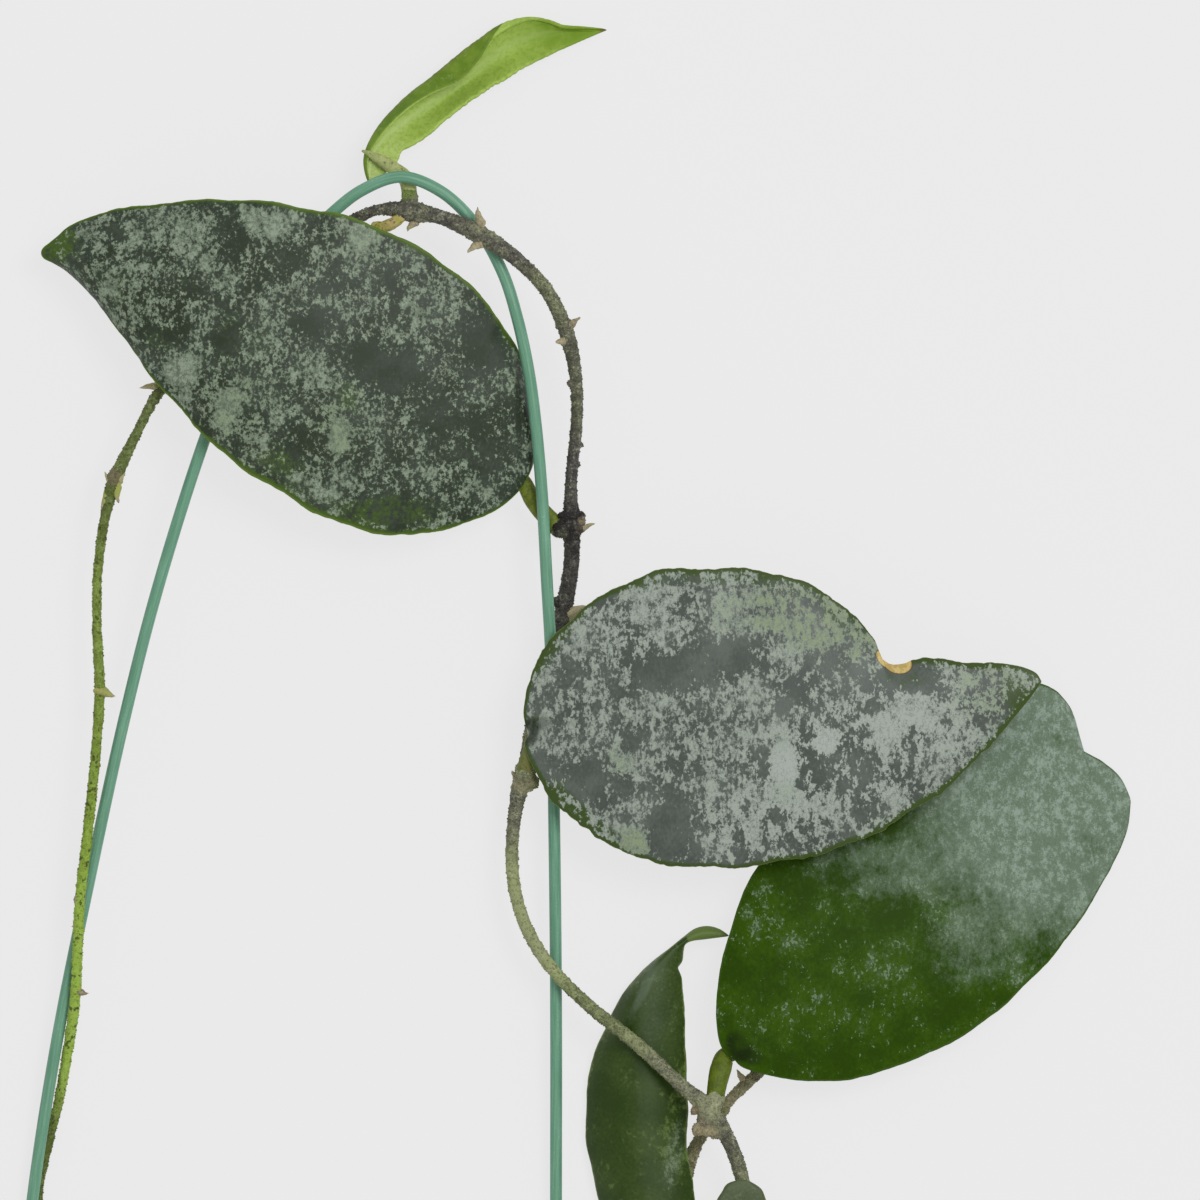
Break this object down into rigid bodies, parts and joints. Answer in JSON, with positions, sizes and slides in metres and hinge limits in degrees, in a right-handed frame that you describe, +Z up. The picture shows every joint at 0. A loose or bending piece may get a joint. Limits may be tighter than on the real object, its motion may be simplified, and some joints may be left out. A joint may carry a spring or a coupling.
{
  "type": "climbing hoya plant on a wire hoop",
  "caption": "Cut length of a climbing hoya with broad silver-mottled leaves, twined through a bent coated wire hoop, lying on a surface.",
  "frame": {"origin": "centre of the base of the bounding box, on the surface that the plant lies on", "axes": "+Y from the hoop's leg ends and the cut stem up to the young top leaf, +Z up from the surface, +X to the right seen from above"},
  "size_m": [0.2814, 0.3562, 0.0272],
  "materials": {
    "coating": "smooth teal-green plastic",
    "wire": "drawn steel, cut ends showing",
    "stem": "rough, finely warted, green to brown-grey",
    "dark_mottled_leaf": "satin, dark green with silver flecks",
    "silver_mottled_leaf": "satin, heavily silvered dark green",
    "green_leaf": "glossy deep green with a silver sheen",
    "grey_leaf": "matte grey green",
    "young_leaf": "soft light green, paler below"
  },
  "bodies": {
    "root": {"hoop_coating": "coating", "hoop_core": "wire", "main_stem": "stem", "leaf_upper_left": "dark_mottled_leaf", "leaf_middle": "silver_mottled_leaf", "leaf_right": "green_leaf", "leaf_hanging": "green_leaf", "leaf_small": "grey_leaf", "leaf_young": "young_leaf"}
  },
  "joints": []
}
